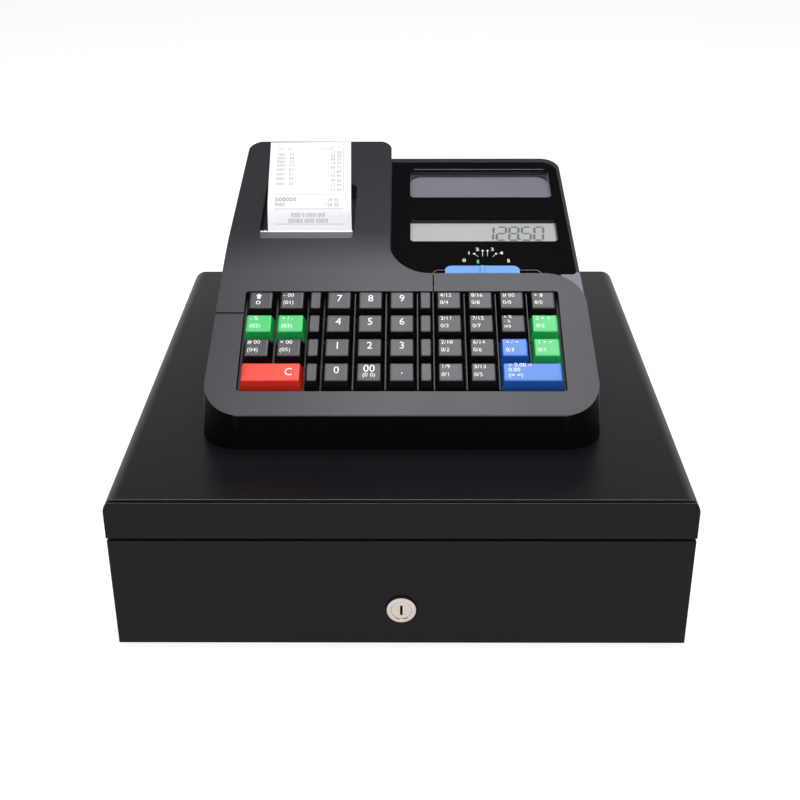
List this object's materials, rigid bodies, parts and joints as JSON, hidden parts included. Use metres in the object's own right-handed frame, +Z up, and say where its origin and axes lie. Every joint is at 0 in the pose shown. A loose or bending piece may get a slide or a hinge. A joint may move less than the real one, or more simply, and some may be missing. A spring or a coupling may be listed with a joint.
{
  "type": "electronic cash register",
  "caption": "Electronic cash register with keyboard, receipt printer and display, on a lockable steel cash drawer with a coin and note till.",
  "frame": {"origin": "on the table, under the middle of the steel case", "axes": "+X to the user's right, +Y from the user towards the back, +Z up"},
  "size_m": [0.335, 0.354, 0.2326],
  "materials": {
    "case_paint": "fine powder coat, satin",
    "black_rubber": "matt",
    "till_plastic": "matt moulded",
    "sprung_steel": "zinc plated",
    "lock_nickel": "nickel plated",
    "body_plastic": "fine moulded grain",
    "frame_plastic": "matt",
    "key_dark": "satin",
    "key_green": "satin",
    "key_red": "satin",
    "key_blue": "satin",
    "slider_blue": "gloss",
    "panel_gloss": "polished",
    "clear_plastic": "clear",
    "lcd_plastic": "satin",
    "paper_white": "uncoated"
  },
  "bodies": {
    "register": {"case_cover": "case_paint", "case_base": "case_paint", "rubber_feet": "black_rubber", "lower_case": "body_plastic", "upper_case": "body_plastic", "keyboard_frame": "frame_plastic", "blank_caps": "key_dark", "display_panel": "panel_gloss", "display_windows": "clear_plastic", "lcd_modules": "lcd_plastic", "printer_mechanism": "sprung_steel"},
    "drawer": {"drawer_box": "case_paint", "till_insert": "till_plastic", "lock_body": "lock_nickel"},
    "lock": {"lock_plug": "lock_nickel"},
    "latch": {"drawer_latch": "sprung_steel"},
    "mode": {"mode_slider": "slider_blue"},
    "cover": {"printer_cover": "body_plastic", "tear_bar": "clear_plastic", "receipt_paper": "paper_white"},
    "platen": {"platen_roller": "black_rubber"},
    "roll": {"paper_roll": "paper_white"},
    "clip_1": {"bill_clip_1": "sprung_steel"},
    "clip_2": {"bill_clip_2": "sprung_steel"},
    "clip_3": {"bill_clip_3": "sprung_steel"},
    "clip_4": {"bill_clip_4": "sprung_steel"},
    "button_feed": {"key_feed": "key_dark"},
    "button_void": {"key_void": "key_dark"},
    "button_percent": {"key_percent": "key_green"},
    "button_refund": {"key_refund": "key_green"},
    "button_clerk": {"key_clerk": "key_dark"},
    "button_quantity": {"key_quantity": "key_dark"},
    "button_clear": {"key_clear": "key_red"},
    "button_digit_7": {"key_digit_7": "key_dark"},
    "button_digit_8": {"key_digit_8": "key_dark"},
    "button_digit_9": {"key_digit_9": "key_dark"},
    "button_digit_4": {"key_digit_4": "key_dark"},
    "button_digit_5": {"key_digit_5": "key_dark"},
    "button_digit_6": {"key_digit_6": "key_dark"},
    "button_digit_1": {"key_digit_1": "key_dark"},
    "button_digit_2": {"key_digit_2": "key_dark"},
    "button_digit_3": {"key_digit_3": "key_dark"},
    "button_digit_0": {"key_digit_0": "key_dark"},
    "button_digit_00": {"key_digit_00": "key_dark"},
    "button_digit_point": {"key_digit_point": "key_dark"},
    "button_dept_1": {"key_dept_1": "key_dark"},
    "button_dept_2": {"key_dept_2": "key_dark"},
    "button_dept_3": {"key_dept_3": "key_dark"},
    "button_dept_4": {"key_dept_4": "key_dark"},
    "button_dept_5": {"key_dept_5": "key_dark"},
    "button_dept_6": {"key_dept_6": "key_dark"},
    "button_dept_7": {"key_dept_7": "key_dark"},
    "button_dept_8": {"key_dept_8": "key_dark"},
    "button_plu": {"key_plu": "key_dark"},
    "button_dept_shift": {"key_dept_shift": "key_dark"},
    "button_tax_shift": {"key_tax_shift": "key_dark"},
    "button_check": {"key_check": "key_green"},
    "button_subtotal": {"key_subtotal": "key_blue"},
    "button_charge": {"key_charge": "key_green"},
    "button_total": {"key_total": "key_blue"}
  },
  "joints": [
    {"name": "drawer_slide", "type": "slide", "parent": "register", "child": "drawer", "axis": [0, -1, 0], "range_m": [0, 0.285]},
    {"name": "cover_hinge", "type": "hinge", "parent": "register", "child": "cover", "pos_m": [0, 0.153, 0.1475], "axis": [-1, 0, 0], "range_deg": [0, 70]},
    {"name": "lock_turn", "type": "hinge", "parent": "drawer", "child": "lock", "pos_m": [0, -0.165, 0.0294], "axis": [0, 1, 0], "range_deg": [0, 90]},
    {"name": "clip_1_hinge", "type": "hinge", "parent": "drawer", "child": "clip_1", "pos_m": [-0.11138, 0.1414, 0.056], "axis": [-1, 0, 0], "range_deg": [0, 36], "stiffness_Nm_per_rad": 0.15, "springref_deg": -34.38},
    {"name": "clip_2_hinge", "type": "hinge", "parent": "drawer", "child": "clip_2", "pos_m": [-0.03712, 0.1414, 0.056], "axis": [-1, 0, 0], "range_deg": [0, 36], "stiffness_Nm_per_rad": 0.15, "springref_deg": -34.38},
    {"name": "clip_3_hinge", "type": "hinge", "parent": "drawer", "child": "clip_3", "pos_m": [0.03712, 0.1414, 0.056], "axis": [-1, 0, 0], "range_deg": [0, 36], "stiffness_Nm_per_rad": 0.15, "springref_deg": -34.38},
    {"name": "clip_4_hinge", "type": "hinge", "parent": "drawer", "child": "clip_4", "pos_m": [0.11138, 0.1414, 0.056], "axis": [-1, 0, 0], "range_deg": [0, 36], "stiffness_Nm_per_rad": 0.15, "springref_deg": -34.38},
    {"name": "latch_hinge", "type": "hinge", "parent": "register", "child": "latch", "pos_m": [0, 0.1654, 0.046], "axis": [1, 0, 0], "range_deg": [0, 15], "stiffness_Nm_per_rad": 0.02, "springref_deg": -11.46},
    {"name": "mode_slide", "type": "slide", "parent": "register", "child": "mode", "axis": [1, 0, 0], "range_m": [-0.0062, 0.0093]},
    {"name": "platen_spin", "type": "hinge", "parent": "register", "child": "platen", "pos_m": [-0.0618, 0.0335, 0.169], "axis": [1, 0, 0], "continuous": true},
    {"name": "roll_spin", "type": "hinge", "parent": "register", "child": "roll", "pos_m": [-0.0618, 0.098, 0.1643], "axis": [1, 0, 0], "continuous": true},
    {"name": "feed_press", "type": "slide", "parent": "register", "child": "button_feed", "axis": [0, 0.4299, -0.9029], "range_m": [0, 0.003], "stiffness_N_per_m": 200, "springref_m": -0.002},
    {"name": "void_press", "type": "slide", "parent": "register", "child": "button_void", "axis": [0, 0.4299, -0.9029], "range_m": [0, 0.003], "stiffness_N_per_m": 200, "springref_m": -0.002},
    {"name": "percent_press", "type": "slide", "parent": "register", "child": "button_percent", "axis": [0, 0.4299, -0.9029], "range_m": [0, 0.003], "stiffness_N_per_m": 200, "springref_m": -0.002},
    {"name": "refund_press", "type": "slide", "parent": "register", "child": "button_refund", "axis": [0, 0.4299, -0.9029], "range_m": [0, 0.003], "stiffness_N_per_m": 200, "springref_m": -0.002},
    {"name": "clerk_press", "type": "slide", "parent": "register", "child": "button_clerk", "axis": [0, 0.4299, -0.9029], "range_m": [0, 0.003], "stiffness_N_per_m": 200, "springref_m": -0.002},
    {"name": "quantity_press", "type": "slide", "parent": "register", "child": "button_quantity", "axis": [0, 0.4299, -0.9029], "range_m": [0, 0.003], "stiffness_N_per_m": 200, "springref_m": -0.002},
    {"name": "clear_press", "type": "slide", "parent": "register", "child": "button_clear", "axis": [0, 0.4299, -0.9029], "range_m": [0, 0.003], "stiffness_N_per_m": 200, "springref_m": -0.002},
    {"name": "digit_7_press", "type": "slide", "parent": "register", "child": "button_digit_7", "axis": [0, 0.4299, -0.9029], "range_m": [0, 0.003], "stiffness_N_per_m": 200, "springref_m": -0.002},
    {"name": "digit_8_press", "type": "slide", "parent": "register", "child": "button_digit_8", "axis": [0, 0.4299, -0.9029], "range_m": [0, 0.003], "stiffness_N_per_m": 200, "springref_m": -0.002},
    {"name": "digit_9_press", "type": "slide", "parent": "register", "child": "button_digit_9", "axis": [0, 0.4299, -0.9029], "range_m": [0, 0.003], "stiffness_N_per_m": 200, "springref_m": -0.002},
    {"name": "digit_4_press", "type": "slide", "parent": "register", "child": "button_digit_4", "axis": [0, 0.4299, -0.9029], "range_m": [0, 0.003], "stiffness_N_per_m": 200, "springref_m": -0.002},
    {"name": "digit_5_press", "type": "slide", "parent": "register", "child": "button_digit_5", "axis": [0, 0.4299, -0.9029], "range_m": [0, 0.003], "stiffness_N_per_m": 200, "springref_m": -0.002},
    {"name": "digit_6_press", "type": "slide", "parent": "register", "child": "button_digit_6", "axis": [0, 0.4299, -0.9029], "range_m": [0, 0.003], "stiffness_N_per_m": 200, "springref_m": -0.002},
    {"name": "digit_1_press", "type": "slide", "parent": "register", "child": "button_digit_1", "axis": [0, 0.4299, -0.9029], "range_m": [0, 0.003], "stiffness_N_per_m": 200, "springref_m": -0.002},
    {"name": "digit_2_press", "type": "slide", "parent": "register", "child": "button_digit_2", "axis": [0, 0.4299, -0.9029], "range_m": [0, 0.003], "stiffness_N_per_m": 200, "springref_m": -0.002},
    {"name": "digit_3_press", "type": "slide", "parent": "register", "child": "button_digit_3", "axis": [0, 0.4299, -0.9029], "range_m": [0, 0.003], "stiffness_N_per_m": 200, "springref_m": -0.002},
    {"name": "digit_0_press", "type": "slide", "parent": "register", "child": "button_digit_0", "axis": [0, 0.4299, -0.9029], "range_m": [0, 0.003], "stiffness_N_per_m": 200, "springref_m": -0.002},
    {"name": "digit_00_press", "type": "slide", "parent": "register", "child": "button_digit_00", "axis": [0, 0.4299, -0.9029], "range_m": [0, 0.003], "stiffness_N_per_m": 200, "springref_m": -0.002},
    {"name": "digit_point_press", "type": "slide", "parent": "register", "child": "button_digit_point", "axis": [0, 0.4299, -0.9029], "range_m": [0, 0.003], "stiffness_N_per_m": 200, "springref_m": -0.002},
    {"name": "dept_1_press", "type": "slide", "parent": "register", "child": "button_dept_1", "axis": [0, 0.4299, -0.9029], "range_m": [0, 0.003], "stiffness_N_per_m": 200, "springref_m": -0.002},
    {"name": "dept_2_press", "type": "slide", "parent": "register", "child": "button_dept_2", "axis": [0, 0.4299, -0.9029], "range_m": [0, 0.003], "stiffness_N_per_m": 200, "springref_m": -0.002},
    {"name": "dept_3_press", "type": "slide", "parent": "register", "child": "button_dept_3", "axis": [0, 0.4299, -0.9029], "range_m": [0, 0.003], "stiffness_N_per_m": 200, "springref_m": -0.002},
    {"name": "dept_4_press", "type": "slide", "parent": "register", "child": "button_dept_4", "axis": [0, 0.4299, -0.9029], "range_m": [0, 0.003], "stiffness_N_per_m": 200, "springref_m": -0.002},
    {"name": "dept_5_press", "type": "slide", "parent": "register", "child": "button_dept_5", "axis": [0, 0.4299, -0.9029], "range_m": [0, 0.003], "stiffness_N_per_m": 200, "springref_m": -0.002},
    {"name": "dept_6_press", "type": "slide", "parent": "register", "child": "button_dept_6", "axis": [0, 0.4299, -0.9029], "range_m": [0, 0.003], "stiffness_N_per_m": 200, "springref_m": -0.002},
    {"name": "dept_7_press", "type": "slide", "parent": "register", "child": "button_dept_7", "axis": [0, 0.4299, -0.9029], "range_m": [0, 0.003], "stiffness_N_per_m": 200, "springref_m": -0.002},
    {"name": "dept_8_press", "type": "slide", "parent": "register", "child": "button_dept_8", "axis": [0, 0.4299, -0.9029], "range_m": [0, 0.003], "stiffness_N_per_m": 200, "springref_m": -0.002},
    {"name": "plu_press", "type": "slide", "parent": "register", "child": "button_plu", "axis": [0, 0.4299, -0.9029], "range_m": [0, 0.003], "stiffness_N_per_m": 200, "springref_m": -0.002},
    {"name": "dept_shift_press", "type": "slide", "parent": "register", "child": "button_dept_shift", "axis": [0, 0.4299, -0.9029], "range_m": [0, 0.003], "stiffness_N_per_m": 200, "springref_m": -0.002},
    {"name": "tax_shift_press", "type": "slide", "parent": "register", "child": "button_tax_shift", "axis": [0, 0.4299, -0.9029], "range_m": [0, 0.003], "stiffness_N_per_m": 200, "springref_m": -0.002},
    {"name": "check_press", "type": "slide", "parent": "register", "child": "button_check", "axis": [0, 0.4299, -0.9029], "range_m": [0, 0.003], "stiffness_N_per_m": 200, "springref_m": -0.002},
    {"name": "subtotal_press", "type": "slide", "parent": "register", "child": "button_subtotal", "axis": [0, 0.4299, -0.9029], "range_m": [0, 0.003], "stiffness_N_per_m": 200, "springref_m": -0.002},
    {"name": "charge_press", "type": "slide", "parent": "register", "child": "button_charge", "axis": [0, 0.4299, -0.9029], "range_m": [0, 0.003], "stiffness_N_per_m": 200, "springref_m": -0.002},
    {"name": "total_press", "type": "slide", "parent": "register", "child": "button_total", "axis": [0, 0.4299, -0.9029], "range_m": [0, 0.003], "stiffness_N_per_m": 200, "springref_m": -0.002}
  ]
}
